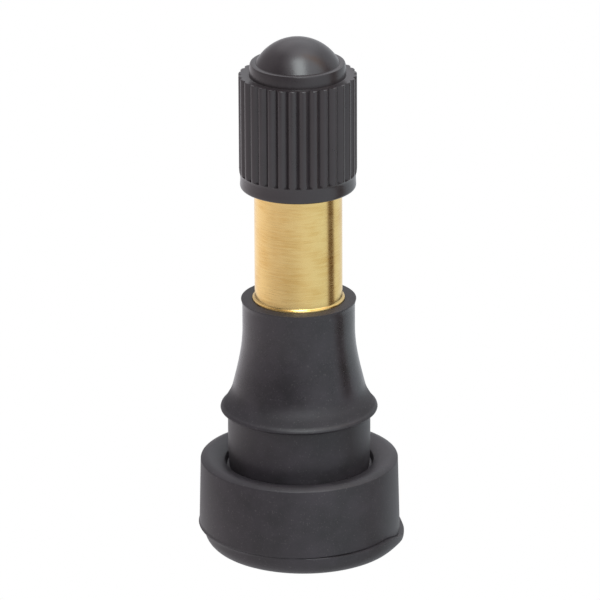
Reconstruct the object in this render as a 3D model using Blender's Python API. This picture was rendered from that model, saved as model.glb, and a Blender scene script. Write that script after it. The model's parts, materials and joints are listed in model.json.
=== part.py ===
"""Snap-in tyre valve with an exposed brass stem, a ribbed screw cap and a spring-loaded valve core.

Run with: blender --background --python part.py, or from Blender's text editor.
Units are metres, +Z is up, the valve's axis is the Z axis and the rubber foot stands on Z = 0.
The valve is seen from -Y, with +X to the right.
"""

import math

import bmesh
import bpy
from mathutils import Vector

MM = 0.001

# Clearances between pieces
BOND_GAP = 0.03 * MM            # rubber moulded onto brass
SEAT_GAP = 0.05 * MM            # a face that rests on another face
THREAD_GAP = 0.08 * MM          # between the plain cylinders that stand for mating threads
SWIVEL_GAP = 0.06 * MM          # the plug's crimp round the barrel's head
COVER_GAP = 0.20 * MM           # the cap's mouth round the bare brass

# Plunger pin and its spring, from the axis outwards
PIN_R = 0.45 * MM
PIN_HEAD_OVERHANG = 0.33 * MM
PIN_HEAD_HEIGHT = 0.55 * MM
PIN_HEAD_ROUND = 0.25 * MM
PIN_RIVET_OVERHANG = 0.30 * MM
PIN_RIVET_HEIGHT = 0.35 * MM
PIN_RIVET_ROUND = 0.15 * MM
PIN_STOP_HEIGHT = 0.50 * MM
PIN_STOP_OVERHANG = 0.04 * MM   # past the outside of the spring
PIN_TRAVEL = 1.50 * MM
PIN_BELOW_TIP = 0.50 * MM
SPRING_WIRE_R = 0.10 * MM
SPRING_CLEARANCE = 0.33 * MM    # between the pin and the inside of the spring
SPRING_TURNS = 7
SPRING_END_GAP = 0.02 * MM      # between the closed end turns

# Core barrel
CHAMBER_CLEARANCE = 0.28 * MM   # air's way past the pin's stop
BARREL_WALL = 0.50 * MM
BARREL_LENGTH = 8.20 * MM
BARREL_ROOF = 0.55 * MM
BARREL_FLOOR = 0.70 * MM
BARREL_FLOOR_HOLE_CLEARANCE = 0.27 * MM
BARREL_GROOVE_DEPTH = 0.10 * MM
BARREL_RIDGE_HEIGHT = 0.40 * MM
BARREL_RIDGE_RISE = 0.20 * MM
BARREL_LOWER_RIDGE_RISE = 0.08 * MM
BARREL_NECK_WALL = 0.39 * MM
BARREL_NECK_HEIGHT = 0.50 * MM
BARREL_HEAD_OVERHANG = 0.35 * MM
BARREL_HEAD_HEIGHT = 0.55 * MM
GASKET_LENGTH = 1.80 * MM

# Core plug
PLUG_BELOW_TIP = 1.90 * MM
PLUG_BORE_CLEARANCE = 0.10 * MM # air's way past the pin's head
PLUG_WING_HEIGHT = 1.40 * MM
PLUG_WING_INSET = 0.32 * MM     # from the thread's outside to the wings' ends
PLUG_WING_THICKNESS = 1.60 * MM
PLUG_THREAD_LENGTH = 2.70 * MM
PLUG_THREAD_CHAMFER = 0.20 * MM
PLUG_SKIRT_WALL = 0.37 * MM
PLUG_LIP_THICKNESS = 0.30 * MM

# Cup and washer on the pin's lower end
WASHER_THICKNESS = 0.90 * MM
WASHER_OVERLAP = 0.73 * MM      # of the washer on the barrel's floor, past its hole
CUP_WALL = 0.12 * MM
CUP_FLOOR = 0.35 * MM
CUP_RIM_BELOW_WASHER = 0.15 * MM

# Brass stem
CORE_CLEARANCE = 0.07 * MM      # round the barrel's lower ridge
CORE_SEAT_TAPER = 0.20 * MM
CORE_SEAT_MARGIN = 0.70 * MM    # of the tapered seat below the gasket
CORE_THREAD_STEP = 0.40 * MM    # from the seat out to the core's thread
CORE_MOUTH_CHAMFER = 0.25 * MM
CORE_END_ROOM = 2.00 * MM       # below the pin when it is pressed
AIR_BORE_R = 1.50 * MM
STEM_THREAD_R = 3.80 * MM
STEM_THREAD_LENGTH = 9.10 * MM
STEM_TIP_CHAMFER = 0.35 * MM
STEM_SHOULDER = 0.30 * MM
STEM_SHOULDER_CHAMFER = 0.10 * MM
STEM_EXPOSED = 11.00 * MM
STEM_COLLAR_OVERHANG = 0.30 * MM
STEM_COLLAR_HEIGHT = 0.20 * MM
STEM_COLLAR_SINK = 0.30 * MM
STEM_COLLAR_FILLET = 0.25 * MM
STEM_SHANK_STEP = 0.55 * MM
STEM_KEY_DEPTH = 0.40 * MM
STEM_KEY_WIDTH = 0.80 * MM
STEM_KEY_PITCH = 2.40 * MM
STEM_KEY_COUNT = 2
STEM_FLANGE_WIDTH = 1.45 * MM   # of the flange out from the shank
STEM_FLANGE_THICKNESS = 1.60 * MM
STEM_FLANGE_CHAMFER = 0.40 * MM
STEM_TAIL_WALL = 1.20 * MM
STEM_TAIL_LENGTH = 3.50 * MM

# Rubber body, from the foot up
FOOT_ROUND = 1.80 * MM
FOOT_SKIN = 1.10 * MM           # of rubber under the stem's foot
FOOT_HOLE_CLEARANCE = 0.40 * MM # of the rubber's hole round the stem's bore
PARTING_Z = 2.10 * MM
PARTING_STEP = 0.12 * MM
MOULD_SHIFT = 0.43 * MM         # of the foot half, sideways along +X
FLASH_WIDTH = 0.22 * MM
FLASH_HEIGHT = 0.40 * MM
FLASH_HEADING = math.radians(180.0)
NECK_R = 6.70 * MM
NECK_GROOVE_WIDTH = 4.65 * MM
NECK_FILLET = 0.15 * MM
BASE_FLANGE = 2.75 * MM         # of the base out from the neck
BASE_DRAFT = 0.15 * MM
BASE_HEIGHT = 8.80 * MM
BASE_DISH = 0.60 * MM
BASE_CREST_WIDTH = 0.45 * MM
BASE_CREST_ROUND = 0.40 * MM
LIP_OVERHANG = 0.72 * MM
LIP_THICKNESS = 0.40 * MM
SHOULDER_SHARE = 0.56           # of the way out from the sleeve's radius to the lip's
SHOULDER_RISE = 1.50 * MM
SHOULDER_ROUND = 2.60 * MM
SLEEVE_LENGTH = 11.15 * MM
SLEEVE_EDGE = 0.87 * MM         # of rubber round the stem's collar
SLEEVE_RIM_FLARE = 0.13 * MM
SLEEVE_RIM_HEIGHT = 0.50 * MM
SLEEVE_TAPER_END = 6.35 * MM
SLEEVE_TAPER_ROUND = 16.20 * MM

# Dust cap
CAP_OVERLAP = 0.80 * MM         # over the stem's full-width part
CAP_WALL = 1.10 * MM            # round the mouth
CAP_RIB_RISE = 0.10 * MM        # of the ribs over the skirt
CAP_SKIRT_HEIGHT = 1.50 * MM
CAP_EDGE_ROUND = 0.30 * MM
CAP_MOUTH_DEPTH = 1.30 * MM
CAP_RIB_COUNT = 32
CAP_GROOVE_DEPTH = 0.27 * MM
CAP_GROOVE_RUNOUT = 0.45 * MM
CAP_GROOVE_SHARE = 0.36
CAP_RIB_CROWN = 0.06 * MM
CAP_SHOULDER_DROP = 0.30 * MM
CAP_SHOULDER_HEIGHT = 0.40 * MM
CAP_NECK_WALL = 0.58 * MM
CAP_NECK_HEIGHT = 1.00 * MM
CAP_NECK_CHAMFER = 0.22 * MM
CAP_LEDGE_WIDTH = 0.56 * MM
CAP_DOME_HEIGHT = 2.30 * MM
CAP_DOME_WALL = 1.20 * MM
CAP_DOME_SIDE_WALL = 1.00 * MM
SEAL_THICKNESS = 1.00 * MM
SEAL_LIP = 0.15 * MM            # of the seal's hole inside the room under the dome

# Facets
BODY_SEGMENTS = 40
STEM_SEGMENTS = 40
CORE_SEGMENTS = 20
POINTS_PER_RIB = 4
SPRING_SIDES = 5
SPRING_STEPS_PER_TURN = 10
ARC_STEPS = 3
SMALL_ARC_STEPS = 2
SMALL_ROUND = 0.50 * MM
DOME_STEPS = 5
ROOM_STEPS = 4
TOUCH = 0.01 * MM               # points nearer than this count as one place

# Radii of the core, from the pin outwards
PIN_HEAD_R = PIN_R + PIN_HEAD_OVERHANG
PIN_RIVET_R = PIN_R + PIN_RIVET_OVERHANG
SPRING_R = PIN_R + SPRING_CLEARANCE + SPRING_WIRE_R
PIN_STOP_R = SPRING_R + SPRING_WIRE_R + PIN_STOP_OVERHANG
BARREL_CHAMBER_R = PIN_STOP_R + CHAMBER_CLEARANCE
BARREL_R = BARREL_CHAMBER_R + BARREL_WALL
BARREL_GROOVE_R = BARREL_R - BARREL_GROOVE_DEPTH
BARREL_RIDGE_R = BARREL_R + BARREL_RIDGE_RISE
BARREL_LOWER_RIDGE_R = BARREL_R + BARREL_LOWER_RIDGE_RISE
BARREL_FLOOR_HOLE_R = PIN_R + BARREL_FLOOR_HOLE_CLEARANCE
PLUG_BORE_R = PIN_HEAD_R + PLUG_BORE_CLEARANCE
BARREL_NECK_R = PLUG_BORE_R + BARREL_NECK_WALL
BARREL_HEAD_R = BARREL_NECK_R + BARREL_HEAD_OVERHANG
PLUG_HEAD_ROOM_R = BARREL_HEAD_R + SWIVEL_GAP
PLUG_SKIRT_R = PLUG_HEAD_ROOM_R + PLUG_SKIRT_WALL
WASHER_R = BARREL_FLOOR_HOLE_R + WASHER_OVERLAP
CUP_INNER_R = WASHER_R + BOND_GAP
CUP_R = CUP_INNER_R + CUP_WALL

# Radii of the stem, the rubber and the cap
CORE_BORE_R = max(BARREL_LOWER_RIDGE_R, CUP_R) + CORE_CLEARANCE
CORE_SEAT_R = CORE_BORE_R + CORE_SEAT_TAPER
CORE_THREAD_R = CORE_SEAT_R + CORE_THREAD_STEP
PLUG_THREAD_R = CORE_THREAD_R - THREAD_GAP
PLUG_WING_R = PLUG_THREAD_R - PLUG_WING_INSET
STEM_R = STEM_THREAD_R + STEM_SHOULDER
STEM_COLLAR_R = STEM_R + STEM_COLLAR_OVERHANG
STEM_SHANK_R = STEM_R - STEM_SHANK_STEP
STEM_FLANGE_R = STEM_SHANK_R + STEM_FLANGE_WIDTH
STEM_TAIL_R = AIR_BORE_R + STEM_TAIL_WALL
FOOT_HOLE_R = AIR_BORE_R + FOOT_HOLE_CLEARANCE
SLEEVE_R = STEM_COLLAR_R + SLEEVE_EDGE
SLEEVE_RIM_R = SLEEVE_R + SLEEVE_RIM_FLARE
LIP_R = NECK_R + LIP_OVERHANG
SHOULDER_R = SLEEVE_R + (LIP_R - SLEEVE_R) * SHOULDER_SHARE
BASE_R = NECK_R + BASE_FLANGE
BASE_TOP_R = BASE_R - BASE_DRAFT
CAP_BORE_R = STEM_THREAD_R + THREAD_GAP
CAP_MOUTH_R = STEM_R + COVER_GAP
CAP_SKIRT_R = CAP_MOUTH_R + CAP_WALL
CAP_RIB_R = CAP_SKIRT_R + CAP_RIB_RISE
CAP_NECK_R = CAP_BORE_R + CAP_NECK_WALL
CAP_DOME_R = CAP_NECK_R - CAP_LEDGE_WIDTH
CAP_DOME_ROOM_R = CAP_DOME_R - CAP_DOME_SIDE_WALL
SEAL_HOLE_R = CAP_DOME_ROOM_R - SEAL_LIP

# Heights, from the foot up
STEM_FOOT_Z = FOOT_SKIN
LIP_Z = BASE_HEIGHT + NECK_GROOVE_WIDTH
RUBBER_TOP_Z = LIP_Z + SLEEVE_LENGTH
CAP_BOTTOM_Z = RUBBER_TOP_Z + STEM_EXPOSED
STEM_SHOULDER_Z = CAP_BOTTOM_Z + CAP_OVERLAP
STEM_TIP_Z = STEM_SHOULDER_Z + STEM_THREAD_LENGTH
SEAL_Z = STEM_TIP_Z + SEAT_GAP
CAP_CEILING_Z = SEAL_Z + SEAL_THICKNESS + SEAT_GAP
CAP_SHOULDER_Z = CAP_CEILING_Z - CAP_SHOULDER_DROP
CAP_NECK_Z = CAP_SHOULDER_Z + CAP_SHOULDER_HEIGHT
CAP_LEDGE_Z = CAP_NECK_Z + CAP_NECK_HEIGHT
CAP_TOP_Z = CAP_LEDGE_Z + CAP_DOME_HEIGHT

# Heights of the core, from the stem's tip down
PIN_TOP_Z = STEM_TIP_Z - PIN_BELOW_TIP
PLUG_TOP_Z = STEM_TIP_Z - PLUG_BELOW_TIP
PLUG_THREAD_TOP_Z = PLUG_TOP_Z - PLUG_WING_HEIGHT
PLUG_THREAD_END_Z = PLUG_THREAD_TOP_Z - PLUG_THREAD_LENGTH
BARREL_TOP_Z = PLUG_THREAD_END_Z - SWIVEL_GAP
BARREL_NECK_TOP_Z = BARREL_TOP_Z - BARREL_HEAD_HEIGHT
PLUG_LIP_TOP_Z = BARREL_NECK_TOP_Z - SWIVEL_GAP
PLUG_LIP_END_Z = PLUG_LIP_TOP_Z - PLUG_LIP_THICKNESS
BARREL_RIDGE_TOP_Z = BARREL_NECK_TOP_Z - BARREL_NECK_HEIGHT
GASKET_SEAT_TOP_Z = BARREL_RIDGE_TOP_Z - BARREL_RIDGE_HEIGHT
GASKET_SEAT_END_Z = GASKET_SEAT_TOP_Z - GASKET_LENGTH
BARREL_BOTTOM_Z = BARREL_RIDGE_TOP_Z - BARREL_LENGTH
CHAMBER_TOP_Z = BARREL_RIDGE_TOP_Z - BARREL_ROOF
CHAMBER_FLOOR_Z = BARREL_BOTTOM_Z + BARREL_FLOOR
PIN_STOP_TOP_Z = CHAMBER_TOP_Z - BARREL_ROOF
PIN_STOP_Z = PIN_STOP_TOP_Z - PIN_STOP_HEIGHT
SPRING_BOTTOM_Z = CHAMBER_FLOOR_Z + SEAT_GAP
SPRING_TOP_Z = PIN_STOP_Z - SEAT_GAP
WASHER_TOP_Z = BARREL_BOTTOM_Z - SEAT_GAP
WASHER_END_Z = WASHER_TOP_Z - WASHER_THICKNESS
CUP_FLOOR_Z = WASHER_END_Z - SEAT_GAP
CUP_BOTTOM_Z = CUP_FLOOR_Z - CUP_FLOOR
PIN_RIVET_TOP_Z = CUP_BOTTOM_Z - SEAT_GAP
PIN_BOTTOM_Z = PIN_RIVET_TOP_Z - PIN_RIVET_HEIGHT
CORE_SEAT_TOP_Z = GASKET_SEAT_TOP_Z
CORE_SEAT_END_Z = GASKET_SEAT_END_Z - CORE_SEAT_MARGIN
CORE_BORE_END_Z = PIN_BOTTOM_Z - PIN_TRAVEL - CORE_END_ROOM


def clear_scene():
    """Remove every object, so that the file can be run again."""
    for obj in list(bpy.data.objects):
        bpy.data.objects.remove(obj, do_unlink=True)


def make_material(name, color, roughness, metallic=0.0):
    """A plain Principled BSDF finish."""
    material = bpy.data.materials.new(name)
    material.use_nodes = True
    shader = material.node_tree.nodes["Principled BSDF"]
    shader.inputs["Base Color"].default_value = (*color, 1.0)
    shader.inputs["Roughness"].default_value = roughness
    shader.inputs["Metallic"].default_value = metallic
    return material


def rounded(corners):
    """A profile of (r, z) points in which each corner (r, z, radius) is turned into an arc.

    A corner with no radius stays sharp. A radius is limited by the two walls that meet there.
    """
    points = []
    count = len(corners)
    for i, corner in enumerate(corners):
        here = Vector(corner[:2])
        radius = corner[2] if len(corner) > 2 else 0.0
        before = Vector(corners[i - 1][:2])
        after = Vector(corners[(i + 1) % count][:2])
        towards_before = before - here
        towards_after = after - here
        if radius <= 0.0 or towards_before.length == 0.0 or towards_after.length == 0.0:
            points.append(tuple(here))
            continue
        half_angle = towards_before.angle(towards_after) / 2.0
        reach = radius / math.tan(half_angle)
        reach = min(reach, 0.45 * towards_before.length, 0.45 * towards_after.length)
        radius = reach * math.tan(half_angle)
        start = here + towards_before.normalized() * reach
        end = here + towards_after.normalized() * reach
        bisector = (towards_before.normalized() + towards_after.normalized()).normalized()
        centre = here + bisector * (radius / math.sin(half_angle))
        first = start - centre
        last = end - centre
        turn = math.atan2(first.x * last.y - first.y * last.x, first.dot(last))
        steps = ARC_STEPS if radius > SMALL_ROUND else SMALL_ARC_STEPS
        for step in range(steps + 1):
            angle = turn * step / steps
            rotated = Vector((
                first.x * math.cos(angle) - first.y * math.sin(angle),
                first.x * math.sin(angle) + first.y * math.cos(angle),
            ))
            points.append(tuple(centre + rotated))
    return points


def offset_path(path, gap):
    """Move an open (r, z) path that runs downwards outwards, away from the axis, by gap."""
    moved = []
    for i, point in enumerate(path):
        normals = []
        if i > 0:
            normals.append(outward_normal(path[i - 1], point))
        if i < len(path) - 1:
            normals.append(outward_normal(point, path[i + 1]))
        mitre = sum(normals, Vector((0.0, 0.0))).normalized()
        reach = gap / mitre.dot(normals[0])
        moved.append((point[0] + mitre.x * reach, point[1] + mitre.y * reach))
    return moved


def outward_normal(upper, lower):
    """The normal of one downward stretch of a path, on the side away from the axis."""
    along = Vector((lower[0] - upper[0], lower[1] - upper[1])).normalized()
    return Vector((-along.y, along.x))


def add_object(name, bm, material):
    """Finish a bmesh as an object with smooth shading and sharp edges kept."""
    bmesh.ops.recalc_face_normals(bm, faces=bm.faces)
    mesh = bpy.data.meshes.new(name)
    bm.to_mesh(mesh)
    bm.free()
    mesh.materials.append(material)
    mesh.shade_smooth()
    mesh.set_sharp_from_angle(angle=math.radians(32.0))
    obj = bpy.data.objects.new(name, mesh)
    bpy.context.scene.collection.objects.link(obj)
    return obj


def turned(profile, segments):
    """Turn a closed (r, z) outline once round the Z axis and return the bmesh."""
    bm = bmesh.new()
    verts = [bm.verts.new((r, 0.0, z)) for r, z in profile]
    edges = [bm.edges.new((verts[i - 1], verts[i])) for i in range(len(verts))]
    bmesh.ops.spin(bm, geom=verts + edges, axis=(0, 0, 1), cent=(0, 0, 0),
                   steps=segments, angle=math.tau, use_merge=True)
    bmesh.ops.remove_doubles(bm, verts=bm.verts, dist=TOUCH / 50.0)
    axis_edges = [e for e in bm.edges if not e.link_faces]
    bmesh.ops.delete(bm, geom=axis_edges, context="EDGES")
    return bm


def cut_with(obj, cutter):
    """Subtract a hidden cutter from an object."""
    cutter.hide_render = True
    cutter.display_type = "WIRE"
    boolean = obj.modifiers.new(cutter.name, "BOOLEAN")
    boolean.operation = "DIFFERENCE"
    boolean.solver = "EXACT"
    boolean.object = cutter


def embedded_path():
    """The stem's outer side inside the rubber, from the rubber's top face down to the stem's foot."""
    path = [
        (STEM_COLLAR_R, RUBBER_TOP_Z),
        (STEM_COLLAR_R, RUBBER_TOP_Z - STEM_COLLAR_SINK),
        (STEM_SHANK_R, RUBBER_TOP_Z - STEM_COLLAR_SINK),
    ]
    top_key_z = RUBBER_TOP_Z - STEM_COLLAR_SINK - STEM_KEY_PITCH
    for key in range(STEM_KEY_COUNT):
        z = top_key_z - key * STEM_KEY_PITCH
        path += [
            (STEM_SHANK_R, z),
            (STEM_SHANK_R - STEM_KEY_DEPTH, z),
            (STEM_SHANK_R - STEM_KEY_DEPTH, z - STEM_KEY_WIDTH),
            (STEM_SHANK_R, z - STEM_KEY_WIDTH),
        ]
    flange_bottom_z = STEM_FOOT_Z + STEM_TAIL_LENGTH
    flange_top_z = flange_bottom_z + STEM_FLANGE_THICKNESS
    path += [
        (STEM_SHANK_R, flange_top_z),
        (STEM_FLANGE_R - STEM_FLANGE_CHAMFER, flange_top_z),
        (STEM_FLANGE_R, flange_top_z - STEM_FLANGE_CHAMFER),
        (STEM_FLANGE_R, flange_bottom_z),
        (STEM_TAIL_R, flange_bottom_z),
        (STEM_TAIL_R, STEM_FOOT_Z),
    ]
    return path


def make_brass_stem(material):
    """The turned stem: collar, grooved shank, flange and tail outside; thread, seat and bores inside."""
    collar_top_z = RUBBER_TOP_Z + STEM_COLLAR_HEIGHT
    inside = [
        (AIR_BORE_R, STEM_FOOT_Z),
        (AIR_BORE_R, CORE_BORE_END_Z - (CORE_BORE_R - AIR_BORE_R)),
        (CORE_BORE_R, CORE_BORE_END_Z),
        (CORE_BORE_R, CORE_SEAT_END_Z),
        (CORE_SEAT_R, CORE_SEAT_TOP_Z),
        (CORE_THREAD_R, CORE_SEAT_TOP_Z + CORE_THREAD_STEP),
        (CORE_THREAD_R, STEM_TIP_Z - CORE_MOUTH_CHAMFER),
        (CORE_THREAD_R + CORE_MOUTH_CHAMFER, STEM_TIP_Z),
    ]
    above_rubber = [
        (STEM_THREAD_R - STEM_TIP_CHAMFER, STEM_TIP_Z),
        (STEM_THREAD_R, STEM_TIP_Z - STEM_TIP_CHAMFER),
        (STEM_THREAD_R, STEM_SHOULDER_Z),
        (STEM_R - STEM_SHOULDER_CHAMFER, STEM_SHOULDER_Z),
        (STEM_R, STEM_SHOULDER_Z - STEM_SHOULDER_CHAMFER),
        (STEM_R, collar_top_z + STEM_COLLAR_FILLET),
        (STEM_R + STEM_COLLAR_OVERHANG * 0.3, collar_top_z + STEM_COLLAR_FILLET * 0.3),
        (STEM_COLLAR_R, collar_top_z),
    ]
    outside = above_rubber + embedded_path()[1:]
    return add_object("brass_stem", turned(inside + outside, STEM_SEGMENTS), material)


def flash_reach(azimuth):
    """How far the moulding flash stands out: widest at its heading and gone on the other side."""
    return FLASH_WIDTH * max(0.0, math.cos(azimuth - FLASH_HEADING)) ** 2


def make_rubber_body(material):
    """The moulded body, with its foot half set off sideways at the parting line as the mould left it."""
    foot_top_z = PARTING_Z - PARTING_STEP / 2.0
    wall_foot_z = PARTING_Z + PARTING_STEP / 2.0
    crest_r = BASE_TOP_R - BASE_CREST_WIDTH
    outside = rounded([
        (FOOT_HOLE_R, 0.0),
        (BASE_R, 0.0, FOOT_ROUND),
        (BASE_R, foot_top_z),
        (BASE_R, wall_foot_z),
        (BASE_R, wall_foot_z + FLASH_HEIGHT),
        (BASE_TOP_R, BASE_HEIGHT, BASE_CREST_ROUND),
        (crest_r, BASE_HEIGHT, BASE_CREST_ROUND),
        (NECK_R, BASE_HEIGHT - BASE_DISH, NECK_FILLET),
        (NECK_R, LIP_Z),
        (LIP_R, LIP_Z, LIP_THICKNESS / 2.0),
        (LIP_R, LIP_Z + LIP_THICKNESS, LIP_THICKNESS),
        (SHOULDER_R, LIP_Z + SHOULDER_RISE, SHOULDER_ROUND),
        (SLEEVE_R, LIP_Z + SLEEVE_TAPER_END, SLEEVE_TAPER_ROUND),
        (SLEEVE_R, RUBBER_TOP_Z - SLEEVE_RIM_HEIGHT),
        (SLEEVE_RIM_R, RUBBER_TOP_Z),
    ])
    inside = offset_path(embedded_path(), BOND_GAP)
    inside[0] = (inside[0][0], RUBBER_TOP_Z)
    inside[-1] = (inside[-1][0], STEM_FOOT_Z - BOND_GAP)
    inside.append((FOOT_HOLE_R, STEM_FOOT_Z - BOND_GAP))
    bm = turned(outside + inside, BODY_SEGMENTS)
    outer_reach = (FOOT_HOLE_R + BASE_R) / 2.0
    for vert in bm.verts:
        x, y, z = vert.co
        reach = math.hypot(x, y)
        if reach < outer_reach:
            continue
        if z < PARTING_Z:
            vert.co.x += MOULD_SHIFT
        elif z < wall_foot_z + FLASH_HEIGHT / 2.0:
            scale = 1.0 + flash_reach(math.atan2(y, x)) / reach
            vert.co.x *= scale
            vert.co.y *= scale
    return add_object("rubber_body", bm, material)


def dome_points(base_r, base_z, height, steps):
    """A round dome's profile from its base edge up to the axis."""
    sphere_r = (base_r ** 2 + height ** 2) / (2.0 * height)
    centre_z = base_z + height - sphere_r
    start = math.asin((base_z - centre_z) / sphere_r)
    points = []
    for step in range(steps + 1):
        angle = start + (math.pi / 2.0 - start) * step / steps
        points.append((sphere_r * math.cos(angle), centre_z + sphere_r * math.sin(angle)))
    points[-1] = (0.0, base_z + height)
    return points


def make_cap_cavity():
    """The space inside the cap: mouth, threaded bore, seal seat and the room under the dome."""
    room_top_z = CAP_TOP_Z - CAP_DOME_WALL
    room_wall_z = CAP_LEDGE_Z - CAP_DOME_WALL / 2.0
    profile = [
        (0.0, CAP_BOTTOM_Z - CAP_MOUTH_DEPTH),
        (CAP_MOUTH_R, CAP_BOTTOM_Z - CAP_MOUTH_DEPTH),
        (CAP_MOUTH_R, CAP_BOTTOM_Z + CAP_MOUTH_DEPTH),
        (CAP_BORE_R, CAP_BOTTOM_Z + CAP_MOUTH_DEPTH + (CAP_MOUTH_R - CAP_BORE_R)),
        (CAP_BORE_R, CAP_CEILING_Z),
        (CAP_DOME_ROOM_R, CAP_CEILING_Z),
    ]
    profile += dome_points(CAP_DOME_ROOM_R, room_wall_z, room_top_z - room_wall_z, ROOM_STEPS)
    material = make_material("cutter", (0.5, 0.5, 0.5), 0.5)
    return add_object("cap_cavity_cutter", turned(profile, STEM_SEGMENTS), material)


def rib_shape(step):
    """The angle within one rib's pitch, as a share, and the depth below the rib's top, for one step."""
    edge = CAP_GROOVE_SHARE / 2.0
    shares = (0.0, edge, 0.5, 1.0 - edge)
    depths = (CAP_GROOVE_DEPTH, CAP_RIB_CROWN, 0.0, CAP_RIB_CROWN)
    return shares[step], depths[step]


def make_dust_cap(material):
    """The moulded cap: a smooth skirt, straight grip ribs, a neck and a dome, hollowed for the stem."""
    rib_foot_z = CAP_BOTTOM_Z + CAP_SKIRT_HEIGHT
    full_depth_z = rib_foot_z + CAP_GROOVE_RUNOUT
    groove_r = CAP_RIB_R - CAP_GROOVE_DEPTH
    share = (CAP_RIB_R - groove_r) / (CAP_RIB_R - CAP_NECK_R)
    profile = [(0.0, CAP_BOTTOM_Z)]
    profile += rounded([
        (0.0, CAP_BOTTOM_Z),
        (CAP_SKIRT_R, CAP_BOTTOM_Z, CAP_EDGE_ROUND),
        (CAP_SKIRT_R, rib_foot_z),
        (CAP_RIB_R, full_depth_z),
        (CAP_RIB_R, CAP_SHOULDER_Z),
        (groove_r, CAP_SHOULDER_Z + share * CAP_SHOULDER_HEIGHT),
        (CAP_NECK_R, CAP_NECK_Z),
        (CAP_NECK_R, CAP_LEDGE_Z, CAP_NECK_CHAMFER),
        (CAP_DOME_R, CAP_LEDGE_Z),
        (0.0, CAP_LEDGE_Z),
    ])[1:-1]
    profile += dome_points(CAP_DOME_R, CAP_LEDGE_Z, CAP_DOME_HEIGHT, DOME_STEPS)[1:]
    points = CAP_RIB_COUNT * POINTS_PER_RIB
    bm = turned(profile, points)
    pitch = math.tau / CAP_RIB_COUNT
    for vert in bm.verts:
        x, y, z = vert.co
        reach = math.hypot(x, y)
        if reach < TOUCH:
            continue
        step = round(math.atan2(y, x) / math.tau * points) % points
        rib, part = divmod(step, POINTS_PER_RIB)
        share, depth = rib_shape(part)
        angle = (rib + share) * pitch - math.pi / 2.0
        if z > full_depth_z - TOUCH:
            reach = min(reach, CAP_RIB_R - depth)
        vert.co.x = reach * math.cos(angle)
        vert.co.y = reach * math.sin(angle)
    cap = add_object("dust_cap", bm, material)
    cut_with(cap, make_cap_cavity())
    return cap


def make_cap_seal(material):
    """The flat rubber ring between the cap's seat and the stem's tip."""
    outer_r = CAP_BORE_R - SEAT_GAP
    profile = [
        (SEAL_HOLE_R, SEAL_Z),
        (outer_r, SEAL_Z),
        (outer_r, SEAL_Z + SEAL_THICKNESS),
        (SEAL_HOLE_R, SEAL_Z + SEAL_THICKNESS),
    ]
    return add_object("cap_seal", turned(profile, STEM_SEGMENTS), material)


def make_wing_cutter():
    """Two blocks that leave the plug's flat wings standing between them."""
    bm = bmesh.new()
    reach = 2.0 * PLUG_WING_R
    height = 2.0 * PLUG_WING_HEIGHT
    for side in (-1.0, 1.0):
        made = bmesh.ops.create_cube(bm, size=1.0)
        bmesh.ops.scale(bm, vec=(reach * 2.0, reach, height), verts=made["verts"])
        centre_y = side * (PLUG_WING_THICKNESS / 2.0 + reach / 2.0)
        centre_z = PLUG_THREAD_TOP_Z + height / 2.0
        bmesh.ops.translate(bm, vec=(0.0, centre_y, centre_z), verts=made["verts"])
    return add_object("plug_wing_cutter", bm, make_material("wing_cutter", (0.5, 0.5, 0.5), 0.5))


def make_core_plug(material):
    """The threaded swivel plug: two wings, the thread, and the skirt crimped round the barrel's head."""
    lip_r = BARREL_NECK_R + SWIVEL_GAP
    profile = [
        (PLUG_BORE_R, PLUG_THREAD_END_Z),
        (PLUG_BORE_R, PLUG_TOP_Z),
        (PLUG_WING_R, PLUG_TOP_Z),
        (PLUG_WING_R, PLUG_THREAD_TOP_Z),
        (PLUG_THREAD_R - PLUG_THREAD_CHAMFER, PLUG_THREAD_TOP_Z),
        (PLUG_THREAD_R, PLUG_THREAD_TOP_Z - PLUG_THREAD_CHAMFER),
        (PLUG_THREAD_R, PLUG_THREAD_END_Z + PLUG_THREAD_CHAMFER),
        (PLUG_SKIRT_R, PLUG_THREAD_END_Z),
        (PLUG_SKIRT_R, PLUG_LIP_END_Z + PLUG_THREAD_CHAMFER),
        (PLUG_SKIRT_R - PLUG_THREAD_CHAMFER, PLUG_LIP_END_Z),
        (lip_r, PLUG_LIP_END_Z),
        (lip_r, PLUG_LIP_TOP_Z),
        (PLUG_HEAD_ROOM_R, PLUG_LIP_TOP_Z),
        (PLUG_HEAD_ROOM_R, PLUG_THREAD_END_Z),
    ]
    plug = add_object("core_plug", turned(profile, CORE_SEGMENTS), material)
    cut_with(plug, make_wing_cutter())
    return plug


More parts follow.
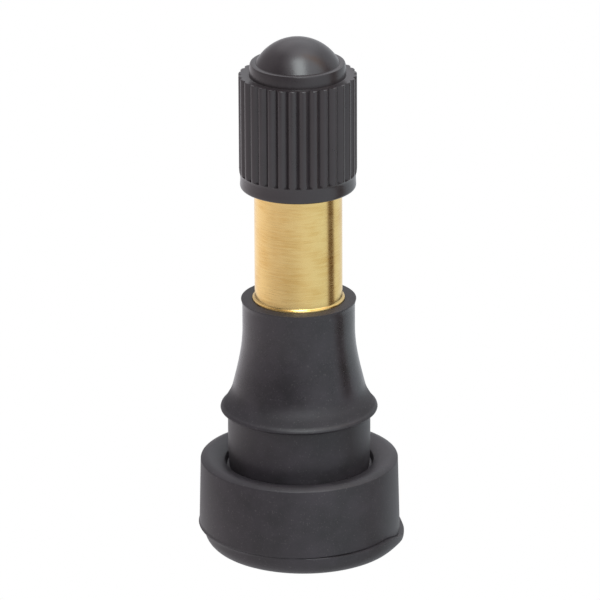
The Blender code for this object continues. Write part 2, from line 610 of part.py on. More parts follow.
def make_core_barrel(material):
    """The barrel: swivel head and neck, two ridges that hold the gasket, and the spring's chamber."""
    profile = [
        (BARREL_FLOOR_HOLE_R, BARREL_BOTTOM_Z),
        (BARREL_FLOOR_HOLE_R, CHAMBER_FLOOR_Z),
        (BARREL_CHAMBER_R, CHAMBER_FLOOR_Z),
        (BARREL_CHAMBER_R, CHAMBER_TOP_Z),
        (PLUG_BORE_R, CHAMBER_TOP_Z),
        (PLUG_BORE_R, BARREL_TOP_Z),
        (BARREL_HEAD_R, BARREL_TOP_Z),
        (BARREL_HEAD_R, BARREL_NECK_TOP_Z),
        (BARREL_NECK_R, BARREL_NECK_TOP_Z),
        (BARREL_NECK_R, BARREL_RIDGE_TOP_Z),
        (BARREL_RIDGE_R, BARREL_RIDGE_TOP_Z),
        (BARREL_RIDGE_R, GASKET_SEAT_TOP_Z),
        (BARREL_GROOVE_R, GASKET_SEAT_TOP_Z),
        (BARREL_GROOVE_R, GASKET_SEAT_END_Z),
        (BARREL_LOWER_RIDGE_R, GASKET_SEAT_END_Z),
        (BARREL_LOWER_RIDGE_R, GASKET_SEAT_END_Z - BARREL_RIDGE_HEIGHT),
        (BARREL_R, GASKET_SEAT_END_Z - BARREL_RIDGE_HEIGHT),
        (BARREL_R, BARREL_BOTTOM_Z),
    ]
    return add_object("core_barrel", turned(profile, CORE_SEGMENTS), material)


def seat_radius(z):
    """The radius of the stem's tapered seat at a height."""
    share = (z - CORE_SEAT_END_Z) / (CORE_SEAT_TOP_Z - CORE_SEAT_END_Z)
    return CORE_BORE_R + CORE_SEAT_TAPER * min(max(share, 0.0), 1.0)


def make_core_gasket(material):
    """The cone-shaped ring that seals between the barrel and the stem's tapered seat."""
    top_z = GASKET_SEAT_TOP_Z - SEAT_GAP
    bottom_z = GASKET_SEAT_END_Z + SEAT_GAP
    inner_r = BARREL_GROOVE_R + SEAT_GAP
    profile = [
        (inner_r, bottom_z),
        (inner_r, top_z),
        (seat_radius(top_z) - SEAT_GAP, top_z),
        (seat_radius(bottom_z) - SEAT_GAP, bottom_z),
    ]
    return add_object("core_gasket", turned(profile, CORE_SEGMENTS), material)


def make_core_pin(material):
    """The plunger pin: head, shank, the stop that the spring pushes on, and the riveted lower end."""
    profile = [(0.0, PIN_BOTTOM_Z)]
    profile += rounded([
        (0.0, PIN_BOTTOM_Z),
        (PIN_RIVET_R, PIN_BOTTOM_Z, PIN_RIVET_ROUND),
        (PIN_RIVET_R, PIN_RIVET_TOP_Z),
        (PIN_R, PIN_RIVET_TOP_Z),
        (PIN_R, PIN_STOP_Z),
        (PIN_STOP_R, PIN_STOP_Z),
        (PIN_STOP_R, PIN_STOP_TOP_Z),
        (PIN_R, PIN_STOP_TOP_Z),
        (PIN_R, PIN_TOP_Z - PIN_HEAD_HEIGHT),
        (PIN_HEAD_R, PIN_TOP_Z - PIN_HEAD_HEIGHT),
        (PIN_HEAD_R, PIN_TOP_Z, PIN_HEAD_ROUND),
        (0.0, PIN_TOP_Z),
    ])[1:]
    return add_object("core_pin", turned(profile, CORE_SEGMENTS), material)


def make_core_cup(material):
    """The pressed cup on the pin's lower end."""
    rim_z = WASHER_TOP_Z - CUP_RIM_BELOW_WASHER
    profile = [
        (PIN_R + BOND_GAP, CUP_BOTTOM_Z),
        (CUP_R - CUP_WALL, CUP_BOTTOM_Z),
        (CUP_R, CUP_BOTTOM_Z + CUP_WALL),
        (CUP_R, rim_z),
        (CUP_INNER_R, rim_z),
        (CUP_INNER_R, CUP_FLOOR_Z),
        (PIN_R + BOND_GAP, CUP_FLOOR_Z),
    ]
    return add_object("core_cup", turned(profile, CORE_SEGMENTS), material)


def make_core_washer(material):
    """The rubber washer that closes the barrel's lower end."""
    profile = [
        (PIN_R + BOND_GAP, WASHER_END_Z),
        (WASHER_R, WASHER_END_Z),
        (WASHER_R, WASHER_TOP_Z),
        (PIN_R + BOND_GAP, WASHER_TOP_Z),
    ]
    return add_object("core_washer", turned(profile, CORE_SEGMENTS), material)


def spring_point(turn):
    """The wire's centre after a number of turns: the first and last turn lie flat."""
    coil_height = SPRING_TOP_Z - SPRING_BOTTOM_Z - 2.0 * SPRING_WIRE_R
    closed = 2.0 * SPRING_WIRE_R + SPRING_END_GAP
    if turn <= 1.0:
        rise = closed * turn
    elif turn >= SPRING_TURNS - 1.0:
        rise = coil_height - closed * (SPRING_TURNS - turn)
    else:
        share = (turn - 1.0) / (SPRING_TURNS - 2.0)
        rise = closed + (coil_height - 2.0 * closed) * share
    angle = math.tau * turn
    z = SPRING_BOTTOM_Z + SPRING_WIRE_R + rise
    return Vector((SPRING_R * math.cos(angle), SPRING_R * math.sin(angle), z))


def make_core_spring(material):
    """The return spring: a round wire swept along the coil, with closed ends."""
    bm = bmesh.new()
    steps = int(SPRING_TURNS * SPRING_STEPS_PER_TURN)
    rings = []
    for step in range(steps + 1):
        turn = SPRING_TURNS * step / steps
        centre = spring_point(turn)
        outwards = Vector((math.cos(math.tau * turn), math.sin(math.tau * turn), 0.0))
        ring = []
        for side in range(SPRING_SIDES):
            angle = math.tau * side / SPRING_SIDES
            offset = outwards * math.cos(angle) + Vector((0.0, 0.0, math.sin(angle)))
            ring.append(bm.verts.new(centre + offset * SPRING_WIRE_R))
        rings.append(ring)
    for lower, upper in zip(rings, rings[1:]):
        for side in range(SPRING_SIDES):
            after = (side + 1) % SPRING_SIDES
            bm.faces.new((lower[side], lower[after], upper[after], upper[side]))
    bm.faces.new(rings[0])
    bm.faces.new(rings[-1])
    return add_object("core_spring", bm, material)


def main():
    """Build every piece of the valve."""
    clear_scene()
    body_rubber = make_material("body_rubber", (0.048, 0.047, 0.048), 0.55)
    seal_rubber = make_material("seal_rubber", (0.02, 0.02, 0.02), 0.6)
    brass = make_material("turned_brass", (0.66, 0.45, 0.15), 0.28, metallic=1.0)
    core_brass = make_material("core_brass", (0.60, 0.42, 0.16), 0.35, metallic=1.0)
    cap_plastic = make_material("cap_plastic", (0.045, 0.047, 0.047), 0.42)
    gasket_resin = make_material("gasket_resin", (0.55, 0.05, 0.04), 0.45)
    spring_steel = make_material("spring_steel", (0.55, 0.55, 0.56), 0.3, metallic=1.0)

    make_rubber_body(body_rubber)
    make_brass_stem(brass)
    make_dust_cap(cap_plastic)
    make_cap_seal(seal_rubber)
    make_core_plug(core_brass)
    make_core_barrel(core_brass)
    make_core_gasket(gasket_resin)
    make_core_pin(core_brass)
    make_core_spring(spring_steel)
    make_core_cup(core_brass)
    make_core_washer(seal_rubber)


main()
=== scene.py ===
"""Dress a snap-in tyre valve: rubber body, brass stem, ribbed dust cap, valve core, studio and camera.

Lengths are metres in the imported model's own frame. The valve's axis is Z and its foot stands on Z = 0.
The photograph looks along +Y with +X to the right.
"""

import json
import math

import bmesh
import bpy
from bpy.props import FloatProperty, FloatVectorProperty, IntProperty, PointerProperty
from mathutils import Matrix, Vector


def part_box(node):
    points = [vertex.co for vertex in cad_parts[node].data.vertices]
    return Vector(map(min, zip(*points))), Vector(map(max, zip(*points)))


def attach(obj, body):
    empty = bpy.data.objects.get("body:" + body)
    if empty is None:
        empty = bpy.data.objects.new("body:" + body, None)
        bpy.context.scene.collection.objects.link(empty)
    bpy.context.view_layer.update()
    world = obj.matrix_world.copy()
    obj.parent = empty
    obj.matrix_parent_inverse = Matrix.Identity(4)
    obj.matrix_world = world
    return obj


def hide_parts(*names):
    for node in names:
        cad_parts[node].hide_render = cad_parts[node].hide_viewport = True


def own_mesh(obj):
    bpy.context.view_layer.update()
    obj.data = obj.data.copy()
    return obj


bl_info = {
    "name": "Tyre Valve Dressing",
    "version": (1, 0, 0),
    "blender": (4, 5, 0),
    "location": "3D View > Sidebar > Tyre Valve",
    "description": "Builds the visible pieces, finishes and studio of a snap-in tyre valve",
    "category": "Object",
}

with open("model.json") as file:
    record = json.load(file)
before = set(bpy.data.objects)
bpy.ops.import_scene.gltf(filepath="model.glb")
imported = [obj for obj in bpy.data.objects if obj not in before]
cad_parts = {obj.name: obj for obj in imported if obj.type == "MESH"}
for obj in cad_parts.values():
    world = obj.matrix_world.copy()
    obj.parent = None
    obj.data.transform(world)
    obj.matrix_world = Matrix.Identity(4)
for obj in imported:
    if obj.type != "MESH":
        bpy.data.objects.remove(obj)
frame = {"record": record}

MM = 0.001
TOUCH = 0.002 * MM              # points nearer than this count as one place
CREASE = math.radians(38.0)     # edges sharper than this stay sharp in the shading

BODY_OF = {
    node: body
    for body, nodes in frame["record"]["behaviour"]["bodies"].items()
    for node in nodes
}

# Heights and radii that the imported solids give
RUBBER_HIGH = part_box("rubber_body")[1]
STEM_LOW, STEM_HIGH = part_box("brass_stem")
CAP_LOW, CAP_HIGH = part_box("dust_cap")
SEAL_LOW, SEAL_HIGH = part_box("cap_seal")
PLUG_LOW, PLUG_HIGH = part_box("core_plug")
BARREL_LOW, BARREL_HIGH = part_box("core_barrel")
GASKET_LOW, GASKET_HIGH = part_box("core_gasket")
PIN_LOW, PIN_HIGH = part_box("core_pin")
SPRING_LOW, SPRING_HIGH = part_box("core_spring")
CUP_LOW, CUP_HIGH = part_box("core_cup")
WASHER_LOW, WASHER_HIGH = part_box("core_washer")


def linear(hex_colour):
    """The linear red, green and blue of an sRGB hex colour."""
    channels = [int(hex_colour[start:start + 2], 16) / 255.0 for start in (1, 3, 5)]
    return tuple(c / 12.92 if c <= 0.04045 else ((c + 0.055) / 1.055) ** 2.4 for c in channels)


def length(name, millimetres, description):
    """A length property with its default in millimetres."""
    return FloatProperty(name=name, description=description, default=millimetres * MM,
                         unit="LENGTH", precision=5)


def colour(name, hex_colour, description):
    """A colour property with its default as an sRGB hex value."""
    return FloatVectorProperty(name=name, description=description, default=linear(hex_colour),
                               subtype="COLOR", size=3, min=0.0, max=1.0)


class RubberSettings(bpy.types.PropertyGroup):
    """Sizes and colours of the moulded rubber body."""

    base_radius: length("Base radius", 9.45, "Radius of the base's wall at its foot")
    base_top_radius: length("Base top radius", 9.30, "Radius of the base's wall at its crest")
    base_height: length("Base height", 9.00, "Height of the base's crest over the foot")
    base_dish: length("Base dish", 0.80, "How far the base's top falls towards the neck")
    foot_round: length("Foot rounding", 1.80, "Rounding of the foot's outer edge")
    parting_height: length("Parting height", 2.10, "Height of the line where the mould halves met")
    mould_shift: length("Mould shift", 0.43, "How far the foot half of the mould sat to the right")
    parting_gap: length("Parting gap", 0.16, "Depth of the open line over the foot's ledge")
    flash_width: length("Flash width", 0.22, "How far the thin flash stands out at the left")
    neck_radius: length("Neck radius", 6.70, "Radius of the neck that the rim holds")
    lip_height: length("Lip height", 13.45, "Height of the retaining lip's lower side")
    lip_radius: length("Lip radius", 7.39, "Radius of the retaining lip")
    sleeve_radius: length("Sleeve radius", 5.27, "Radius of the straight part of the sleeve")
    rim_radius: length("Sleeve rim radius", 5.40, "Radius of the sleeve's top edge")
    colour: colour("Rubber", "#232023", "Colour of the clean moulded rubber")
    bloom: colour("Bloom", "#332E33", "Colour where wax has bloomed out of the rubber")
    dust: colour("Dust", "#8A8583", "Colour of the dust specks on the rubber")


class BrassSettings(bpy.types.PropertyGroup):
    """Sizes and colours of the turned brass stem."""

    radius: length("Stem radius", 4.10, "Radius of the bare stem")
    collar_radius: length("Collar radius", 4.32, "Radius of the collar at the rubber's top")
    thread_crest: length("Thread crest", 3.80, "Radius over the cap thread's crests")
    thread_root: length("Thread root", 3.40, "Radius at the cap thread's roots")
    thread_pitch: length("Cap thread pitch", 25.4 / 32.0, "Pitch of the cap thread")
    core_crest: length("Core thread crest", 2.19, "Radius inside the core thread's crests")
    core_root: length("Core thread root", 2.55, "Radius at the core thread's roots")
    core_pitch: length("Core thread pitch", 25.4 / 36.0, "Pitch of the core thread")
    foot_bore: length("Foot bore", 1.50, "Radius of the bore under the core")
    core_bore: length("Core bore", 1.95, "Radius of the bore round the core's barrel")
    shank_radius: length("Shank radius", 3.55, "Radius of the shank inside the rubber")
    key_depth: length("Key depth", 0.40, "Depth of the grooves that key the rubber to the shank")
    flange_radius: length("Flange radius", 5.00, "Radius of the flange inside the rubber")
    foot_radius: length("Foot radius", 2.70, "Radius of the stem under its flange")
    colour: colour("Brass", "#F2D28C", "Colour of the turned brass")
    tarnish: colour("Tarnish", "#E6C077", "Colour of the slightly tarnished brass")


class CapSettings(bpy.types.PropertyGroup):
    """Sizes and colours of the dust cap."""

    rib_count: IntProperty(name="Ribs", description="Number of grip ribs", default=32, min=8, max=64)
    rib_radius: length("Rib radius", 5.50, "Radius over the grip ribs")
    skirt_radius: length("Skirt radius", 5.40, "Radius of the smooth skirt under the ribs")
    groove_depth: length("Groove depth", 0.28, "Depth of the grooves between the ribs")
    neck_radius: length("Neck radius", 4.46, "Radius of the neck over the ribs")
    dome_radius: length("Dome radius", 3.90, "Radius of the dome at its foot")
    dome_height: length("Dome height", 2.30, "Height of the dome over the neck")
    mouth_depth: length("Mouth depth", 1.30, "Depth of the wide mouth that fits over the bare stem")
    thread_crest: length("Thread crest", 3.47, "Radius inside the cap thread's crests")
    colour: colour("Plastic", "#282325", "Colour of the moulded plastic")


class CoreSettings(bpy.types.PropertyGroup):
    """Sizes and colours of the valve core."""

    thread_crest: length("Plug thread crest", 2.47, "Radius over the plug's thread")
    thread_root: length("Plug thread root", 2.12, "Radius at the plug thread's roots")
    plug_radius: length("Plug skirt radius", 2.05, "Radius of the skirt that holds the barrel's head")
    wing_radius: length("Wing radius", 2.15, "Radius of the plug's two flat wings")
    wing_width: length("Wing width", 1.60, "Width over the flats that the core tool turns")
    bore: length("Core bore", 0.88, "Radius of the air's way through the plug and the barrel's head")
    barrel_radius: length("Barrel radius", 1.80, "Radius of the barrel's lower part")
    barrel_head: length("Barrel head", 1.62, "Radius of the head that turns in the plug")
    barrel_neck: length("Barrel neck", 1.27, "Radius of the neck under the head")
    chamber: length("Spring chamber", 1.30, "Radius of the chamber for the spring")
    ridge_radius: length("Ridge radius", 2.00, "Radius of the ridge over the gasket")
    pin_radius: length("Pin radius", 0.45, "Radius of the plunger pin")
    pin_head: length("Pin head", 0.78, "Radius of the head that an inflator presses")
    pin_stop: length("Pin stop", 1.02, "Radius of the stop that the spring pushes on")
    cup_wall: length("Cup wall", 0.12, "Thickness of the cup's wall")
    wire_radius: length("Wire radius", 0.10, "Radius of the spring's wire")
    coil_turns: IntProperty(name="Turns", description="Turns of the return spring", default=7,
                            min=4, max=14)
    gasket_colour: colour("Gasket", "#B5362A", "Colour of the seat gasket's resin")
    rubber_colour: colour("Seal rubber", "#1B1B1C", "Colour of the seal's and the washer's rubber")
    steel_colour: colour("Spring steel", "#B9BABC", "Colour of the spring's drawn wire")


class StudioSettings(bpy.types.PropertyGroup):
    """The camera and the light."""

    elevation: FloatProperty(name="Elevation", description="Camera height over the horizon",
                             default=math.radians(20.0), subtype="ANGLE")
    roll: FloatProperty(name="Roll", description="Turn of the camera about its view",
                        default=math.radians(-0.25), subtype="ANGLE")
    distance: length("Distance", 600.0, "From the camera to the point that it looks at")
    aim_height: length("Aim height", 24.35, "Height of the point that the camera looks at")
    aim_right: length("Aim right", 0.13, "Sideways place of the point that the camera looks at")
    focal: FloatProperty(name="Focal length", description="Of the lens, in millimetres",
                         default=385.2, subtype="DISTANCE_CAMERA")
    tent: FloatProperty(name="Tent light", description="Strength of the white tent round the valve",
                        default=0.84, min=0.0)
    tent_gap: FloatProperty(name="Tent gap", description="Heading of the tent's dark gap",
                            default=math.radians(94.0), subtype="ANGLE")


def set_sockets(tree, node, sockets):
    """Set or link a node's sockets. A node given as a value stands for its first output in use."""
    for name, value in sockets.items():
        if isinstance(value, bpy.types.Node):
            value = next(output for output in value.outputs if output.enabled)
        if isinstance(value, bpy.types.NodeSocket):
            tree.links.new(value, node.inputs[name])
        else:
            node.inputs[name].default_value = value


def add_node(tree, kind, sockets=None, **settings):
    """Add a shader node, give it its settings, and set or link the sockets that are named."""
    node = tree.nodes.new("ShaderNode" + kind)
    for name, value in settings.items():
        setattr(node, name, value)
    set_sockets(tree, node, sockets or {})
    return node


def new_material(name):
    """A material with its node tree and its shader."""
    material = bpy.data.materials.new(name)
    material.use_nodes = True
    return material.node_tree, material.node_tree.nodes["Principled BSDF"], material


def moulded_rubber(name, base, bloom, dust):
    """Vulcanised rubber, moulded: satin black with cloudy bloom, a cast texture and clinging dust."""
    tree, shader, material = new_material(name)
    place = add_node(tree, "TexCoord").outputs["Object"]
    cloud = add_node(tree, "TexNoise", {
        "Vector": place, "Scale": 1.0 / (2.6 * MM), "Detail": 5.0, "Roughness": 0.6,
    })
    cloudy = add_node(tree, "MapRange", {"Value": cloud, "From Min": 0.35, "From Max": 0.75})
    body = add_node(tree, "Mix", {
        "Factor": cloudy, "A": (*base, 1.0), "B": (*bloom, 1.0),
    }, data_type="RGBA")
    # Dust grains are about 0.05 mm, which is too fine to show, so they are drawn three times as coarse
    grain = add_node(tree, "TexNoise", {
        "Vector": place, "Scale": 1.0 / (0.16 * MM), "Detail": 2.0, "Roughness": 0.5,
    })
    speck = add_node(tree, "MapRange", {
        "Value": grain, "From Min": 0.62, "From Max": 0.76, "To Max": 0.16,
    })
    dusty = add_node(tree, "Mix", {
        "Factor": speck, "A": body, "B": (*dust, 1.0),
    }, data_type="RGBA")
    gloss = add_node(tree, "MapRange", {"Value": cloud, "To Min": 0.22, "To Max": 0.33})
    # Only the sleeve had a polished mould: the rim over it and all that is under it are duller. The foot
    # of the flare is the dullest, and ends at the lip's edge, which has been rubbed.
    height = add_node(tree, "SeparateXYZ", {"Vector": place}).outputs["Z"]
    foot_low, foot_high, dull, rim = [
        add_node(tree, "MapRange", {
            "Value": height, "From Min": low, "From Max": high, "To Min": at_low, "To Max": at_high,
        })
        for low, high, at_low, at_high in (
            (14.06 * MM, 14.26 * MM, 0.0, 0.28),
            (14.6 * MM, 16.2 * MM, 1.0, 0.0),
            (14.6 * MM, 16.6 * MM, 0.22, 0.0),
            (RUBBER_HIGH.z - 0.20 * MM, RUBBER_HIGH.z, 0.0, 0.30),
        )
    ]
    worn = add_node(tree, "Math", {0: foot_low, 1: foot_high, 2: dull}, operation="MULTIPLY_ADD")
    duller = add_node(tree, "Math", {0: worn, 1: rim}, operation="ADD")
    rough = add_node(tree, "Math", {0: gloss, 1: duller}, operation="ADD")
    cast = add_node(tree, "TexNoise", {
        "Vector": place, "Scale": 1.0 / (0.30 * MM), "Detail": 4.0, "Roughness": 0.65,
    })
    bump = add_node(tree, "Bump", {"Height": cast, "Strength": 0.25, "Distance": 0.03 * MM})
    set_sockets(tree, shader, {"Base Color": dusty, "Roughness": rough, "Normal": bump, "IOR": 1.52})
    return material


def moulded_plastic(name, base):
    """Nylon, injection moulded: an even black with a soft sheen and the mould's faint orange peel."""
    tree, shader, material = new_material(name)
    place = add_node(tree, "TexCoord").outputs["Object"]
    cloud = add_node(tree, "TexNoise", {
        "Vector": place, "Scale": 1.0 / (1.6 * MM), "Detail": 4.0, "Roughness": 0.55,
    })
    lighter = [min(1.0, channel * 1.6) for channel in base]
    body = add_node(tree, "Mix", {
        "Factor": cloud, "A": (*base, 1.0), "B": (*lighter, 1.0),
    }, data_type="RGBA")
    gloss = add_node(tree, "MapRange", {"Value": cloud, "To Min": 0.24, "To Max": 0.34})
    peel = add_node(tree, "TexNoise", {"Vector": place, "Scale": 1.0 / (0.22 * MM), "Detail": 3.0})
    bump = add_node(tree, "Bump", {"Height": peel, "Strength": 0.18, "Distance": 0.02 * MM})
    set_sockets(tree, shader, {"Base Color": body, "Roughness": gloss, "Normal": bump, "IOR": 1.58})
    return material


def turned_brass(name, bright, tarnish, roughness):
    """Free-cutting brass, turned: fine tool rings round the axis and a few slanting handling marks."""
    tree, shader, material = new_material(name)
    place = add_node(tree, "TexCoord").outputs["Object"]
    # Tool rings lie about 0.08 mm apart along Z, and run nearly unbroken round the axis
    around = add_node(tree, "Mapping", {"Vector": place, "Scale": (0.05, 0.05, 1.0)})
    rings = add_node(tree, "TexNoise", {
        "Vector": around, "Scale": 1.0 / (0.10 * MM), "Detail": 3.0, "Roughness": 0.7,
    })
    slant = add_node(tree, "Mapping", {
        "Vector": place, "Scale": (0.10, 0.10, 1.0), "Rotation": (0.0, math.radians(14.0), 0.0),
    })
    marks = add_node(tree, "TexNoise", {
        "Vector": slant, "Scale": 1.0 / (0.22 * MM), "Detail": 2.0, "Roughness": 0.6,
    })
    cloud = add_node(tree, "TexNoise", {"Vector": place, "Scale": 1.0 / (1.8 * MM), "Detail": 4.0})
    worn = add_node(tree, "Math", {0: marks, 1: cloud}, operation="MULTIPLY")
    share = add_node(tree, "MapRange", {"Value": worn, "From Min": 0.18, "From Max": 0.42})
    body = add_node(tree, "Mix", {
        "Factor": share, "A": (*bright, 1.0), "B": (*tarnish, 1.0),
    }, data_type="RGBA")
    gloss = add_node(tree, "MapRange", {
        "Value": rings, "From Min": 0.3, "From Max": 0.7,
        "To Min": roughness - 0.05, "To Max": roughness + 0.07,
    })
    height = add_node(tree, "Math", {0: rings, 1: marks}, operation="ADD")
    bump = add_node(tree, "Bump", {"Height": height, "Strength": 0.15, "Distance": 0.008 * MM})
    grain = add_node(tree, "Tangent", direction_type="RADIAL", axis="Z")
    set_sockets(tree, shader, {
        "Base Color": body, "Roughness": gloss, "Normal": bump, "Metallic": 1.0,
        "Anisotropic": 0.55, "Anisotropic Rotation": 0.25, "Tangent": grain,
    })
    return material


def drawn_steel(name, base):
    """Spring steel, drawn to wire: bright grey with faint streaks."""
    tree, shader, material = new_material(name)
    place = add_node(tree, "TexCoord").outputs["Object"]
    streak = add_node(tree, "TexNoise", {"Vector": place, "Scale": 1.0 / (0.15 * MM), "Detail": 3.0})
    gloss = add_node(tree, "MapRange", {"Value": streak, "To Min": 0.18, "To Max": 0.36})
    set_sockets(tree, shader, {"Base Color": (*base, 1.0), "Roughness": gloss, "Metallic": 1.0})
    return material


def cast_resin(name, base):
    """Fluoropolymer sealing resin, moulded: smooth and slightly waxy."""
    tree, shader, material = new_material(name)
    place = add_node(tree, "TexCoord").outputs["Object"]
    cloud = add_node(tree, "TexNoise", {"Vector": place, "Scale": 1.0 / (0.6 * MM), "Detail": 3.0})
    gloss = add_node(tree, "MapRange", {"Value": cloud, "To Min": 0.32, "To Max": 0.48})
    set_sockets(tree, shader, {
        "Base Color": (*base, 1.0), "Roughness": gloss,
        "Subsurface Weight": 0.05, "Subsurface Scale": 0.3 * MM,
    })
    return material


def smooth(start, end, value):
    """Zero at start, one at end, with an even ease between them."""
    share = min(1.0, max(0.0, (value - start) / (end - start)))
    return share * share * (3.0 - 2.0 * share)


def arc(start, end, bulge, steps):
    """Points between two outline corners on an arc that stands out by bulge, to the left of the way."""
    first, last = Vector(start), Vector(end)
    chord = last - first
    half = chord.length / 2.0
    radius = (half * half + bulge * bulge) / (2.0 * bulge)
    along = chord.normalized()
    normal = Vector((-along.y, along.x))
    centre = (first + last) / 2.0 + normal * (bulge - radius)
    sweep = 2.0 * math.asin(min(1.0, half / abs(radius)))
    points = []
    for step in range(1, steps):
        angle = sweep * (step / steps - 0.5)
        points.append(tuple(centre + normal * math.cos(angle) * radius
                            + along * math.sin(angle) * abs(radius)))
    return points


def turned(outline, segments):
    """Spin an outline of (r, z) or (r, z, round) corners about Z, and round its rings.

    An outline that starts and ends on the axis stays open there. Any other outline is closed.
    """
    bm = bmesh.new()
    verts = [bm.verts.new((corner[0], 0.0, corner[1])) for corner in outline]
    edges = [bm.edges.new(pair) for pair in zip(verts, verts[1:])]
    if outline[0][0] > 0.0 or outline[-1][0] > 0.0:
        edges.append(bm.edges.new((verts[-1], verts[0])))
    bmesh.ops.spin(bm, geom=verts + edges, axis=(0, 0, 1), cent=(0, 0, 0), steps=segments,
                   angle=math.tau, use_merge=True)
    bmesh.ops.remove_doubles(bm, verts=bm.verts, dist=TOUCH)
    for corner in outline:
        if len(corner) == 3:
            round_ring(bm, *corner)
    return bm


def round_ring(bm, radius, height, reach):
    """Bevel one ring of edges into a round of the given reach."""
    ring = [
        edge for edge in bm.edges
        if all(abs(v.co.z - height) < TOUCH and abs(v.co.xy.length - radius) < TOUCH for v in edge.verts)
    ]
    facet = 0.08 * MM
    steps = max(2, min(12, round(reach / facet)))
    bmesh.ops.bevel(bm, geom=ring, offset=reach, offset_type="OFFSET", affect="EDGES", segments=steps,
                    profile=0.5, material=-1, clamp_overlap=True)


def join(bm, other):
    """Move another mesh's geometry into this one."""
    carrier = bpy.data.meshes.new("carrier")
    other.to_mesh(carrier)
    other.free()
    bm.from_mesh(carrier)
    bpy.data.meshes.remove(carrier)


def add_thread(piece, root, crest, pitch, low, high, steps=72):
    """Sweep a screw thread's ridge up round Z on a wall of radius root.

    It is sunk a little into the wall, and over half a turn at both ends it fades until it is hidden.
    """
    sink = 0.03 * MM
    flank = math.radians(30.0)
    fade = 0.5
    hidden = 0.03
    bm = bmesh.new()
    sunk = root - sink if crest > root else root + sink
    half_crest = pitch / 16.0
    half_root = half_crest + abs(crest - sunk) * math.tan(flank)
    section = [(sunk, -half_root), (crest, -half_crest), (crest, half_crest), (sunk, half_root)]
    verts = [bm.verts.new((r, 0.0, low + z)) for r, z in section]
    first = [bm.edges.new((verts[i - 1], verts[i])) for i in range(len(verts))]
    turns = (high - low) / pitch
    count = round(turns * steps)
    swept = bmesh.ops.spin(bm, geom=verts + first, axis=(0, 0, 1), cent=(0, 0, 0), steps=count,
                           angle=math.tau * count / steps, dvec=(0.0, 0.0, pitch / steps))
    last = [item for item in swept["geom_last"] if isinstance(item, bmesh.types.BMEdge)]
    for ring in (first, last):
        bmesh.ops.edgeloop_fill(bm, edges=ring)
    for vert in bm.verts:
        share = (math.atan2(vert.co.y, vert.co.x) / math.tau) % 1.0
        turn = share + round((vert.co.z - low) / pitch - share)
        height = max(hidden, min(1.0, turn / fade, (count / steps - turn) / fade))
        reach = vert.co.xy.length
        vert.co.xy *= (sunk + (reach - sunk) * height) / reach
    join(piece, bm)


def finish_piece(bm, name, material, node):
    """Shade a mesh, give it its finish, and let it stand for its solid on that solid's body."""
    bmesh.ops.recalc_face_normals(bm, faces=bm.faces)
    mesh = bpy.data.meshes.new(name)
    bm.to_mesh(mesh)
    bm.free()
    mesh.materials.append(material)
    mesh.shade_smooth()
    mesh.set_sharp_from_angle(angle=CREASE)
    piece = bpy.data.objects.new(name, mesh)
    bpy.context.scene.collection.objects.link(piece)
    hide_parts(node)
    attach(piece, BODY_OF[node])
    return piece


def stem_in_rubber(brass, gap):
    """The stem's outer side inside the rubber, from its collar down, moved out by gap.

    Two grooves round the shank and a flange under them key the rubber to the brass.
    """
    top = RUBBER_HIGH.z - 0.30 * MM
    groove_step = 2.4 * MM
    groove_width = 0.8 * MM
    flange_low = STEM_LOW.z + 3.5 * MM
    flange_high = flange_low + 1.6 * MM
    chamfer = 0.4 * MM
    shank = brass.shank_radius + gap
    flange = brass.flange_radius + gap
    foot = brass.foot_radius + gap
    collar = brass.collar_radius + gap
    path = [(collar, RUBBER_HIGH.z), (collar, top - gap), (shank, top - gap)]
    for key in (1, 2):
        high = top - key * groove_step
        path += [
            (shank, high - gap),
            (shank - brass.key_depth, high - gap),
            (shank - brass.key_depth, high - groove_width + gap),
            (shank, high - groove_width + gap),
        ]
    path += [
        (shank, flange_high + gap),
        (flange - chamfer, flange_high + gap),
        (flange, flange_high - chamfer + gap),
        (flange, flange_low - gap),
        (foot, flange_low - gap),
        (foot, STEM_LOW.z - gap),
    ]
    return path


